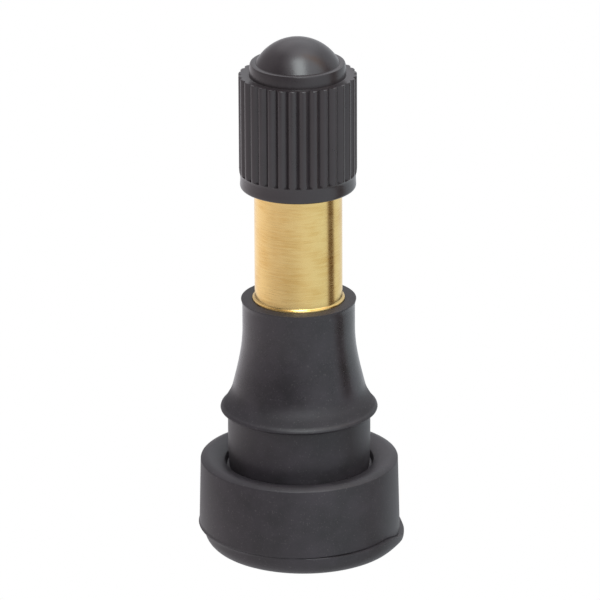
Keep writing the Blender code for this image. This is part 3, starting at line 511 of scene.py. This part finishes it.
class VALVE_OT_rubber_body(bpy.types.Operator):
    """Mould the rubber body: base, neck, lip and sleeve, with its foot set off at the parting line"""

    bl_idname = "valve.rubber_body"
    bl_label = "Rubber Body"

    def execute(self, context):
        size = context.scene.valve_rubber
        parting = size.parting_height
        hole = 1.90 * MM
        bond = 0.03 * MM
        base, crest, neck = size.base_radius, size.base_top_radius, size.neck_radius
        lip, sleeve = size.lip_radius, size.sleeve_radius
        crest_z, lip_z = size.base_height, size.lip_height
        gap_r = base - size.parting_gap
        outline = [
            (hole, 0.0, 0.1 * MM),
            (base, 0.0, size.foot_round),
            (base, parting - 0.20 * MM),
            (base, parting - 0.05 * MM, 0.05 * MM),
            (gap_r, parting - 0.03 * MM),
            (gap_r, parting + 0.03 * MM),
            (base, parting + 0.05 * MM, 0.03 * MM),
            *[(base, parting + rise * MM) for rise in (0.16, 0.27, 0.38, 0.50, 0.70)],
            (crest, crest_z - 0.31 * MM, 0.07 * MM),
            (crest - 0.56 * MM, crest_z - 0.05 * MM, 0.10 * MM),
            (crest - 0.90 * MM, crest_z),
            (neck + 0.30 * MM, crest_z - 0.50 * MM, 0.06 * MM),
            (neck + 0.12 * MM, crest_z - size.base_dish - 0.20 * MM),
            (neck - 0.10 * MM, crest_z - size.base_dish - 0.25 * MM, 0.04 * MM),
            (neck, crest_z + 0.80 * MM, 0.30 * MM),
            (neck, lip_z, 0.10 * MM),
            (lip, lip_z + 0.26 * MM, 0.10 * MM),
            (lip - 0.01 * MM, lip_z + 0.52 * MM, 0.17 * MM),
            (lip - 0.24 * MM, lip_z + 0.67 * MM, 0.08 * MM),
            (lip - 0.56 * MM, lip_z + 1.16 * MM, 0.28 * MM),
            (lip - 1.03 * MM, lip_z + 2.00 * MM, 0.40 * MM),
            (lip - 1.43 * MM, lip_z + 3.55 * MM, 0.70 * MM),
            (sleeve + 0.28 * MM, lip_z + 5.40 * MM, 0.85 * MM),
            (sleeve, lip_z + 7.30 * MM, 1.00 * MM),
            (sleeve, RUBBER_HIGH.z - 0.50 * MM, 0.25 * MM),
            (size.rim_radius, RUBBER_HIGH.z, 0.06 * MM),
        ]
        inside = stem_in_rubber(context.scene.valve_brass, bond)
        outline += inside + [(hole, inside[-1][1])]
        bm = turned(outline, 256)
        outer_r = 5.5 * MM
        moved_z = parting + 0.80 * MM
        for vert in bm.verts:
            if vert.co.xy.length > outer_r and vert.co.z < moved_z:
                self.set_off(vert, size)
        material = moulded_rubber("vulcanised_rubber_moulded", size.colour, size.bloom, size.dust)
        finish_piece(bm, "moulded_body", material, "rubber_body")
        return {"FINISHED"}

    def set_off(self, vert, size):
        """Move a point of the base as the two mould halves left it.

        The foot half sat to the right. There its edge makes a sharp ledge under an open line. The step
        runs out softly towards the front and the left, where a little flash stands out over it.
        """
        reach = vert.co.xy.length
        outward = vert.co.xy / reach
        over = vert.co.z - size.parting_height
        heading = math.atan2(outward.y, outward.x)
        ledge_heading = math.radians(-20.0)
        opened = smooth(math.radians(95.0), math.radians(50.0), abs(heading - ledge_heading))
        soft = (0.06 + 0.40 * (1.0 - opened)) * MM
        shift = size.mould_shift * smooth(soft, -soft, over)
        flash = size.flash_width * max(0.0, -outward.x) ** 2
        flash *= smooth(0.40 * MM, 0.10 * MM, over) * smooth(-0.15 * MM, -0.02 * MM, over)
        if reach < size.base_radius - 0.02 * MM and abs(over) < 0.04 * MM:
            flash += size.parting_gap * (1.0 - opened)
        dip = 0.75 * MM * smooth(math.radians(32.0), math.radians(8.0), abs(heading))
        vert.co.xy += outward * flash
        vert.co.x += shift
        vert.co.z -= dip * smooth(0.80 * MM, 0.0, over) * smooth(-1.9 * MM, -0.1 * MM, over)


class VALVE_OT_brass_stem(bpy.types.Operator):
    """Turn the brass stem: collar, shank and cap thread outside, core thread, seat and bores inside"""

    bl_idname = "valve.brass_stem"
    bl_label = "Brass Stem"

    def execute(self, context):
        size = context.scene.valve_brass
        shoulder = CAP_LOW.z + 0.80 * MM
        collar = RUBBER_HIGH.z + 0.16 * MM
        seat_top = GASKET_HIGH.z + 0.05 * MM
        bore_end = PIN_LOW.z - 3.5 * MM
        outline = [
            (size.foot_bore, STEM_LOW.z, 0.08 * MM),
            (size.foot_bore, bore_end - 0.45 * MM),
            (size.core_bore, bore_end),
            (size.core_bore, GASKET_LOW.z - 0.75 * MM),
            (size.core_bore + 0.20 * MM, seat_top),
            (size.core_root, seat_top + 0.40 * MM),
            (size.core_root, STEM_HIGH.z - 0.25 * MM),
            (size.core_root + 0.25 * MM, STEM_HIGH.z, 0.03 * MM),
            (size.thread_root + 0.02 * MM, STEM_HIGH.z, 0.04 * MM),
            (size.thread_root, STEM_HIGH.z - 0.20 * MM),
            (size.thread_root, shoulder, 0.08 * MM),
            (size.radius - 0.10 * MM, shoulder),
            (size.radius, shoulder - 0.10 * MM),
            (size.radius, collar + 0.11 * MM, 0.04 * MM),
            (size.radius + 0.09 * MM, collar + 0.02 * MM),
            (size.collar_radius - 0.02 * MM, collar, 0.01 * MM),
            (size.collar_radius, collar - 0.03 * MM),
            (size.collar_radius, RUBBER_HIGH.z),
        ]
        outline += stem_in_rubber(size, 0.0)[1:]
        bm = turned(outline, 192)
        add_thread(bm, size.thread_root, size.thread_crest, size.thread_pitch,
                   shoulder + 0.45 * MM, STEM_HIGH.z - 0.30 * MM)
        add_thread(bm, size.core_root, size.core_crest, size.core_pitch,
                   seat_top + 0.75 * MM, STEM_HIGH.z - 0.60 * MM)
        material = turned_brass("free_cutting_brass_turned", size.colour, size.tarnish, 0.25)
        finish_piece(bm, "turned_stem", material, "brass_stem")
        return {"FINISHED"}


class VALVE_OT_dust_cap(bpy.types.Operator):
    """Mould the dust cap: skirt, grip ribs, neck and dome, with its thread and the seal's seat inside"""

    bl_idname = "valve.dust_cap"
    bl_label = "Dust Cap"

    def execute(self, context):
        size = context.scene.valve_cap
        brass = context.scene.valve_brass
        shoulder = SEAL_HIGH.z - 0.05 * MM
        ledge = CAP_HIGH.z - size.dome_height
        grip = CAP_LOW.z + 1.50 * MM
        bore = brass.thread_crest + 0.13 * MM
        mouth = brass.radius + 0.20 * MM
        mouth_high = CAP_LOW.z + size.mouth_depth
        ceiling = SEAL_HIGH.z + 0.05 * MM
        room_r = size.dome_radius - 1.0 * MM
        room_foot = (room_r, ledge - 0.6 * MM)
        room_top = (0.0, CAP_HIGH.z - 1.2 * MM)
        inside = [
            (bore, ceiling),
            (bore, mouth_high + mouth - bore),
            (mouth, mouth_high),
            (mouth, CAP_LOW.z, 0.08 * MM),
        ]
        skirt, ribs, neck = size.skirt_radius, size.rib_radius, size.neck_radius
        outside = [
            (skirt + 0.02 * MM, CAP_LOW.z, 0.28 * MM),
            (skirt - 0.04 * MM, CAP_LOW.z + 0.90 * MM, 0.3 * MM),
            (skirt + 0.01 * MM, grip - 0.05 * MM),
            (skirt + 0.05 * MM, grip),
            (skirt + 0.06 * MM, grip + 0.03 * MM),
            (ribs, grip + 0.45 * MM),
            (ribs, shoulder - 0.05 * MM),
            (ribs - 0.02 * MM, shoulder),
            (ribs - 0.06 * MM, shoulder + 0.03 * MM),
            (ribs - 0.30 * MM, shoulder + 0.03 * MM),
            (neck + 0.12 * MM, shoulder - 0.08 * MM),
            (neck + 0.04 * MM, shoulder - 0.04 * MM),
            (neck - 0.03 * MM, ledge, 0.20 * MM),
            (size.dome_radius, ledge - 0.02 * MM),
        ]
        dome = arc(outside[-1][:2], (0.0, CAP_HIGH.z), -0.62 * MM, 16)
        outline = [room_top] + arc(room_top, room_foot, 0.4 * MM, 8) + [room_foot, (room_r, ceiling)]
        outline += inside + outside + dome + [(0.0, CAP_HIGH.z)]
        points = 12
        bm = turned(outline, size.rib_count * points)
        for vert in bm.verts:
            if vert.co.xy.length > size.neck_radius - 0.01 * MM and vert.co.z > grip - 0.02 * MM:
                self.cut_groove(vert, size, grip)
        # The cap's thread starts a turn and a half over the stem's, and ends under the seal
        pitch = brass.thread_pitch
        low = CAP_LOW.z + 1.25 * MM + 1.5 * pitch
        turns = math.floor((SEAL_LOW.z - 0.45 * MM - low) / pitch * 4.0) / 4.0
        add_thread(bm, bore, size.thread_crest, pitch, low, low + turns * pitch)
        material = moulded_plastic("nylon_moulded", size.colour)
        finish_piece(bm, "ribbed_cap", material, "dust_cap")
        return {"FINISHED"}

    def cut_groove(self, vert, size, grip):
        """Draw a point of the grip in to the shape of the ribs.

        A groove is a V whose middle gets more of the mesh's points than the ribs. The ribs' backs are
        crowned a little, and the grooves end sharply at the skirt.
        """
        reach = vert.co.xy.length
        turn = math.atan2(vert.co.y, vert.co.x) / math.tau * size.rib_count
        part = (turn % 1.0 + 0.5) % 1.0 - 0.5
        spread = part * (0.62 + 0.76 * abs(part))
        away = abs(spread)
        half_width = 0.40
        groove = size.groove_depth * max(0.0, 1.0 - away / half_width) ** 1.15
        crown = 0.05 * MM * (1.0 - 2.0 * min(0.5, away)) ** 2
        fade = min(1.0, max(0.0, (vert.co.z - grip) / (0.03 * MM)))
        cut = min(reach, size.rib_radius - (groove + crown) * fade)
        heading = (math.floor(turn + 0.5) + spread) * math.tau / size.rib_count
        vert.co.x = cut * math.cos(heading)
        vert.co.y = cut * math.sin(heading)


class VALVE_OT_seals(bpy.types.Operator):
    """Mould the soft rings: the cap's seal, the core's gasket and its washer"""

    bl_idname = "valve.seals"
    bl_label = "Seals"

    def execute(self, context):
        size = context.scene.valve_core
        rubber = moulded_rubber("nitrile_rubber_moulded", size.rubber_colour, size.rubber_colour,
                                context.scene.valve_rubber.bloom)
        resin = cast_resin("fluoropolymer_moulded", size.gasket_colour)
        rings = [
            ("cap_seal_ring", "cap_seal", "seal_rubber", rubber, 2.75 * MM,
             SEAL_LOW, SEAL_HIGH, 0.0, 0.10),
            ("barrel_washer", "core_washer", "seal_rubber", rubber, size.pin_radius + 0.03 * MM,
             WASHER_LOW, WASHER_HIGH, 0.0, 0.08),
            ("seat_gasket", "core_gasket", "gasket_resin", resin, 1.75 * MM,
             GASKET_LOW, GASKET_HIGH, 0.14 * MM, 0.05),
        ]
        for name, node, slot, material, hole, low, high, taper, rounding in rings:
            rounding *= MM
            outline = [
                (hole, low.z, rounding),
                (high.x - taper, low.z, rounding),
                (high.x, high.z, rounding),
                (hole, high.z, rounding),
            ]
            finish_piece(turned(outline, 96), name, material, node)
        return {"FINISHED"}


def core_brass(context):
    """The finish that the core's brass pieces share."""
    brass = context.scene.valve_brass
    name = "core_brass_turned"
    return bpy.data.materials.get(name) or turned_brass(name, brass.colour, brass.tarnish, 0.20)


class VALVE_OT_core_plug(bpy.types.Operator):
    """Turn the core's plug: a skirt crimped round the barrel's head, the thread, and two flat wings"""

    bl_idname = "valve.core_plug"
    bl_label = "Core Plug"

    def execute(self, context):
        size = context.scene.valve_core
        pitch = context.scene.valve_brass.core_pitch
        wing_foot = PLUG_HIGH.z - 1.40 * MM
        thread_foot = BARREL_HIGH.z + 0.06 * MM
        head_room = size.barrel_head + 0.06 * MM
        lip = size.barrel_neck + 0.06 * MM
        lip_high = PLUG_LOW.z + 0.30 * MM
        outline = [
            (size.bore, thread_foot, 0.03 * MM),
            (size.bore, wing_foot, 0.05 * MM),
            (size.thread_root, wing_foot, 0.10 * MM),
            (size.thread_root, thread_foot, 0.04 * MM),
            (size.plug_radius, thread_foot - 0.04 * MM),
            (size.plug_radius, PLUG_LOW.z, 0.22 * MM),
            (lip, PLUG_LOW.z, 0.05 * MM),
            (lip, lip_high),
            (head_room, lip_high),
            (head_room, thread_foot),
        ]
        bm = turned(outline, 96)
        low = GASKET_HIGH.z + 0.80 * MM + 1.5 * pitch
        add_thread(bm, size.thread_root, size.thread_crest, pitch, low, low + 3.0 * pitch)
        join(bm, self.make_wings(size, wing_foot - 0.2 * MM))
        finish_piece(bm, "swivel_plug", core_brass(context), "core_plug")
        return {"FINISHED"}

    def make_wings(self, size, low):
        """A ring on top of the plug, cut down to two flats and closed there."""
        outline = [
            (size.bore, low),
            (size.wing_radius, low),
            (size.wing_radius, PLUG_HIGH.z, 0.08 * MM),
            (size.bore, PLUG_HIGH.z, 0.05 * MM),
        ]
        bm = turned(outline, 96)
        for side in (-1.0, 1.0):
            cut = bmesh.ops.bisect_plane(bm, geom=bm.verts[:] + bm.edges[:] + bm.faces[:],
                                         plane_co=(0.0, side * size.wing_width / 2.0, 0.0),
                                         plane_no=(0.0, side, 0.0), clear_outer=True)
            rim = [item for item in cut["geom_cut"] if isinstance(item, bmesh.types.BMEdge)]
            bmesh.ops.holes_fill(bm, edges=rim, sides=0)
        return bm


class VALVE_OT_core_barrel(bpy.types.Operator):
    """Turn the core's barrel: head, neck, two ridges that hold the gasket, and the spring's chamber"""

    bl_idname = "valve.core_barrel"
    bl_label = "Core Barrel"

    def execute(self, context):
        size = context.scene.valve_core
        neck_high = PLUG_LOW.z + 0.36 * MM
        ridge_high = neck_high - 0.50 * MM
        chamber_high = ridge_high - 0.55 * MM
        chamber_low = BARREL_LOW.z + 0.70 * MM
        seat_high = GASKET_HIGH.z + 0.05 * MM
        seat_low = GASKET_LOW.z - 0.05 * MM
        seat = 1.70 * MM
        lower_ridge = size.barrel_radius + 0.08 * MM
        valve_hole = 0.72 * MM
        outline = [
            (valve_hole, BARREL_LOW.z, 0.05 * MM),
            (valve_hole, chamber_low),
            (size.chamber, chamber_low),
            (size.chamber, chamber_high),
            (size.bore, chamber_high),
            (size.bore, BARREL_HIGH.z, 0.04 * MM),
            (size.barrel_head, BARREL_HIGH.z, 0.05 * MM),
            (size.barrel_head, neck_high, 0.04 * MM),
            (size.barrel_neck, neck_high),
            (size.barrel_neck, ridge_high, 0.05 * MM),
            (size.ridge_radius, ridge_high, 0.06 * MM),
            (size.ridge_radius, seat_high, 0.04 * MM),
            (seat, seat_high),
            (seat, seat_low),
            (lower_ridge, seat_low, 0.04 * MM),
            (lower_ridge, seat_low - 0.40 * MM, 0.04 * MM),
            (size.barrel_radius, seat_low - 0.40 * MM),
            (size.barrel_radius, BARREL_LOW.z, 0.10 * MM),
        ]
        finish_piece(turned(outline, 96), "valve_barrel", core_brass(context),
                     "core_barrel")
        return {"FINISHED"}


class VALVE_OT_core_pin(bpy.types.Operator):
    """Turn the core's plunger pin: its head, its stop over the spring, and its riveted lower end"""

    bl_idname = "valve.core_pin"
    bl_label = "Core Pin"

    def execute(self, context):
        size = context.scene.valve_core
        stop_low = SPRING_HIGH.z + 0.05 * MM
        stop_high = stop_low + 0.50 * MM
        head_low = PIN_HIGH.z - 0.55 * MM
        rivet = 0.75 * MM
        rivet_high = PIN_LOW.z + 0.35 * MM
        outline = [
            (0.0, PIN_LOW.z),
            (rivet, PIN_LOW.z, 0.15 * MM),
            (rivet, rivet_high, 0.04 * MM),
            (size.pin_radius, rivet_high),
            (size.pin_radius, stop_low, 0.04 * MM),
            (size.pin_stop, stop_low, 0.05 * MM),
            (size.pin_stop, stop_high, 0.05 * MM),
            (size.pin_radius, stop_high, 0.04 * MM),
            (size.pin_radius, head_low, 0.04 * MM),
            (size.pin_head, head_low, 0.05 * MM),
            (size.pin_head, PIN_HIGH.z, 0.25 * MM),
            (0.0, PIN_HIGH.z),
        ]
        finish_piece(turned(outline, 64), "plunger_pin", core_brass(context), "core_pin")
        return {"FINISHED"}


class VALVE_OT_core_cup(bpy.types.Operator):
    """Press the core's cup, which holds the washer on the pin"""

    bl_idname = "valve.core_cup"
    bl_label = "Core Cup"

    def execute(self, context):
        size = context.scene.valve_core
        hole = size.pin_radius + 0.03 * MM
        inner = CUP_HIGH.x - size.cup_wall
        floor_high = WASHER_LOW.z - 0.05 * MM
        outline = [
            (hole, CUP_LOW.z, 0.03 * MM),
            (CUP_HIGH.x, CUP_LOW.z, 0.14 * MM),
            (CUP_HIGH.x, CUP_HIGH.z, 0.03 * MM),
            (inner, CUP_HIGH.z, 0.03 * MM),
            (inner, floor_high),
            (hole, floor_high),
        ]
        finish_piece(turned(outline, 96), "washer_cup", core_brass(context), "core_cup")
        return {"FINISHED"}


class VALVE_OT_core_spring(bpy.types.Operator):
    """Coil the core's return spring, with closed end turns"""

    bl_idname = "valve.core_spring"
    bl_label = "Core Spring"

    def execute(self, context):
        size = context.scene.valve_core
        wire = size.wire_radius
        coil_r = SPRING_HIGH.x - wire
        closed = 2.0 * wire + 0.02 * MM
        rise = SPRING_HIGH.z - SPRING_LOW.z - 2.0 * wire
        open_turns = size.coil_turns - 2
        bm = bmesh.new()
        made = bmesh.ops.create_circle(bm, cap_ends=True, segments=12, radius=wire)
        upright = Matrix.Rotation(math.pi / 2.0, 3, "X")
        bmesh.ops.rotate(bm, verts=made["verts"], cent=(0, 0, 0), matrix=upright)
        bmesh.ops.translate(bm, verts=made["verts"], vec=(coil_r, 0.0, SPRING_LOW.z + wire))
        section = made["verts"] + bm.edges[:]
        for turns, climb in ((1, closed), (open_turns, rise - 2.0 * closed), (1, closed)):
            steps = 48 * turns
            swept = bmesh.ops.spin(bm, geom=section, axis=(0, 0, 1), cent=(0, 0, 0), steps=steps,
                                   angle=math.tau * turns, dvec=(0.0, 0.0, climb / steps))
            section = [item for item in swept["geom_last"] if not isinstance(item, bmesh.types.BMFace)]
        last = [item for item in section if isinstance(item, bmesh.types.BMEdge)]
        bmesh.ops.edgeloop_fill(bm, edges=last)
        material = drawn_steel("spring_steel_drawn", size.steel_colour)
        spring = finish_piece(bm, "return_spring", material, "core_spring")
        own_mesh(spring)
        return {"FINISHED"}


class VALVE_OT_studio(bpy.types.Operator):
    """Set up the white floor, the light tent with its softbox, and the camera"""

    bl_idname = "valve.studio"
    bl_label = "Studio"

    def execute(self, context):
        scene = context.scene
        size = scene.valve_studio
        scene.view_settings.view_transform = "Standard"
        scene.view_settings.look = "None"
        self.make_floor(scene)
        self.make_tent(scene, size)
        self.make_softbox(scene)
        self.make_camera(scene, size)
        return {"FINISHED"}

    def make_floor(self, scene):
        """A plain white floor that the light doesn't darken."""
        bm = bmesh.new()
        bmesh.ops.create_grid(bm, x_segments=1, y_segments=1, size=3.0)
        mesh = bpy.data.meshes.new("floor")
        bm.to_mesh(mesh)
        bm.free()
        tree, shader, material = new_material("white_acrylic_sheet")
        set_sockets(tree, shader, {
            "Base Color": (0.0, 0.0, 0.0, 1.0), "Specular IOR Level": 0.0,
            "Emission Color": (1.0, 1.0, 1.0, 1.0), "Emission Strength": 1.0,
        })
        mesh.materials.append(material)
        floor = bpy.data.objects.new("floor", mesh)
        floor.location = (0.0, 0.0, -0.2 * MM)
        floor.visible_glossy = False
        floor.visible_diffuse = False
        scene.collection.objects.link(floor)

    def make_tent(self, scene, size):
        """White light from all round, darker towards the camera, and a dark gap where the tent opens."""
        world = bpy.data.worlds.new("light_tent")
        world.use_nodes = True
        scene.world = world
        tree = world.node_tree
        white = (1.0, 1.0, 1.0, 1.0)
        heading = add_node(tree, "TexCoord").outputs["Generated"]
        axes = add_node(tree, "SeparateXYZ", {"Vector": heading}).outputs
        towards = add_node(tree, "Math", {0: axes["Y"], 1: -1.0}, operation="MULTIPLY")
        azimuth = add_node(tree, "Math", {0: axes["X"], 1: towards}, operation="ARCTAN2")
        off = add_node(tree, "Math", {0: azimuth, 1: size.tent_gap}, operation="SUBTRACT")
        away = add_node(tree, "Math", {0: off}, operation="ABSOLUTE")
        cloth = add_node(tree, "MapRange", {
            "Value": away, "From Min": math.radians(9.5), "From Max": math.radians(13.0),
            "To Min": 0.09, "To Max": 1.0,
        })
        patches = []
        for middle, start, end, at_start, at_end, ease in (
            # The room behind the camera is dark: its middle lies a little to the left and above
            ((-0.22, -0.62, 0.75), 0.45, 0.95, 1.0, 0.25, "SMOOTHSTEP"),
            # The cloth behind the valve, a little to the left, is lit from outside: it is the brightest
            ((-0.60, 0.80, 0.0), 0.3, 0.95, 1.0, 1.3, "LINEAR"),
            # The roof glows: over the valve and to its right, and high up behind it
            ((0.25, -0.40, 0.88), 0.60, 0.96, 0.0, 1.5, "SMOOTHSTEP"),
            ((0.0, 0.55, 0.835), 0.80, 0.95, 0.0, 0.7, "SMOOTHSTEP"),
        ):
            near = add_node(tree, "VectorMath", {0: heading, 1: middle}, operation="DOT_PRODUCT")
            patches.append(add_node(tree, "MapRange", {
                "Value": near, "From Min": start, "From Max": end, "To Min": at_start, "To Max": at_end,
            }, interpolation_type=ease))
        room, behind, roof, rear = patches
        # Above the table's height the cloth is dimmer, most of all at the left
        above = add_node(tree, "MapRange", {"Value": axes["Z"], "From Min": -0.25, "From Max": 0.10})
        loss = add_node(tree, "MapRange", {
            "Value": axes["X"], "From Min": -0.7, "From Max": 0.4, "To Min": -0.55, "To Max": -0.20,
        })
        dim = add_node(tree, "Math", {0: above, 1: loss, 2: 1.0}, operation="MULTIPLY_ADD")
        strength = cloth
        for operation, other in (("MULTIPLY", room), ("MULTIPLY", behind), ("MULTIPLY", dim),
                                 ("ADD", roof), ("ADD", rear), ("MULTIPLY", size.tent)):
            strength = add_node(tree, "Math", {0: strength, 1: other}, operation=operation)
        side = add_node(tree, "MapRange", {"Value": axes["X"], "From Min": -0.9, "From Max": 0.9})
        pale = add_node(tree, "Mix", {
            "Factor": side, "A": (0.99, 0.92, 0.96, 1.0), "B": (0.96, 1.05, 1.10, 1.0),
        }, data_type="RGBA")
        warm_gap = (1.6, 1.0, 0.6, 1.0)
        tint = add_node(tree, "Mix", {"Factor": cloth, "A": warm_gap, "B": pale}, data_type="RGBA")
        # The camera sees plain white
        seen = add_node(tree, "LightPath").outputs["Is Camera Ray"]
        shown = add_node(tree, "Mix", {"Factor": seen, "A": strength, "B": 1.0}, data_type="FLOAT")
        shown_tint = add_node(tree, "Mix", {"Factor": seen, "A": tint, "B": white}, data_type="RGBA")
        set_sockets(tree, tree.nodes["Background"], {"Color": shown_tint, "Strength": shown})

    def make_softbox(self, scene):
        """A long soft lamp in the tent's roof, in front of the valve, that looks at it."""
        place = Vector((0.05, -0.330, 0.545))
        aim = Vector((0.0, 0.0, 0.03))
        lamp = bpy.data.lights.new("roof_softbox", "AREA")
        lamp.shape = "RECTANGLE"
        lamp.size = 0.26
        lamp.size_y = 0.56
        lamp.energy = 2.25
        lamp.color = (0.92, 1.0, 1.0)
        box = bpy.data.objects.new("roof_softbox", lamp)
        box.location = place
        box.rotation_euler = (aim - place).to_track_quat("-Z", "Y").to_euler()
        scene.collection.objects.link(box)

    def make_camera(self, scene, size):
        """The photograph's viewpoint."""
        lens = bpy.data.cameras.new("camera")
        lens.lens = size.focal
        lens.sensor_width = 36.0
        lens.clip_start = 0.01
        lens.clip_end = 20.0
        camera = bpy.data.objects.new("camera", lens)
        aim = Vector((size.aim_right, 0.0, size.aim_height))
        back = Vector((0.0, -math.cos(size.elevation), math.sin(size.elevation)))
        camera.location = aim + back * size.distance
        look = (-back).to_track_quat("-Z", "Y").to_matrix().to_4x4()
        camera.rotation_euler = (look @ Matrix.Rotation(size.roll, 4, "Z")).to_euler()
        scene.collection.objects.link(camera)
        scene.camera = camera


class VALVE_PT_dressing(bpy.types.Panel):
    """Lists the pieces and the studio"""

    bl_label = "Tyre Valve"
    bl_space_type = "VIEW_3D"
    bl_region_type = "UI"
    bl_category = "Tyre Valve"

    def draw(self, context):
        for operator in OPERATORS:
            self.layout.operator(operator.bl_idname)


SETTINGS = {
    "valve_rubber": RubberSettings,
    "valve_brass": BrassSettings,
    "valve_cap": CapSettings,
    "valve_core": CoreSettings,
    "valve_studio": StudioSettings,
}
OPERATORS = (
    VALVE_OT_rubber_body,
    VALVE_OT_brass_stem,
    VALVE_OT_dust_cap,
    VALVE_OT_seals,
    VALVE_OT_core_plug,
    VALVE_OT_core_barrel,
    VALVE_OT_core_pin,
    VALVE_OT_core_cup,
    VALVE_OT_core_spring,
    VALVE_OT_studio,
)


def register():
    """Make the settings, the operators and the panel known to Blender."""
    for group in SETTINGS.values():
        bpy.utils.register_class(group)
    for kind in (*OPERATORS, VALVE_PT_dressing):
        bpy.utils.register_class(kind)
    for name, group in SETTINGS.items():
        setattr(bpy.types.Scene, name, PointerProperty(type=group))


def unregister():
    """Take the settings, the operators and the panel away again."""
    for name in SETTINGS:
        delattr(bpy.types.Scene, name)
    for kind in (VALVE_PT_dressing, *reversed(OPERATORS)):
        bpy.utils.unregister_class(kind)
    for group in reversed(list(SETTINGS.values())):
        bpy.utils.unregister_class(group)


def main():
    """Build every piece and the studio."""
    register()
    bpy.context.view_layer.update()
    bpy.ops.valve.rubber_body()
    bpy.ops.valve.brass_stem()
    bpy.ops.valve.dust_cap()
    bpy.ops.valve.seals()
    bpy.ops.valve.core_plug()
    bpy.ops.valve.core_barrel()
    bpy.ops.valve.core_pin()
    bpy.ops.valve.core_cup()
    bpy.ops.valve.core_spring()
    bpy.ops.valve.studio()


if __name__ == "__main__":
    main()
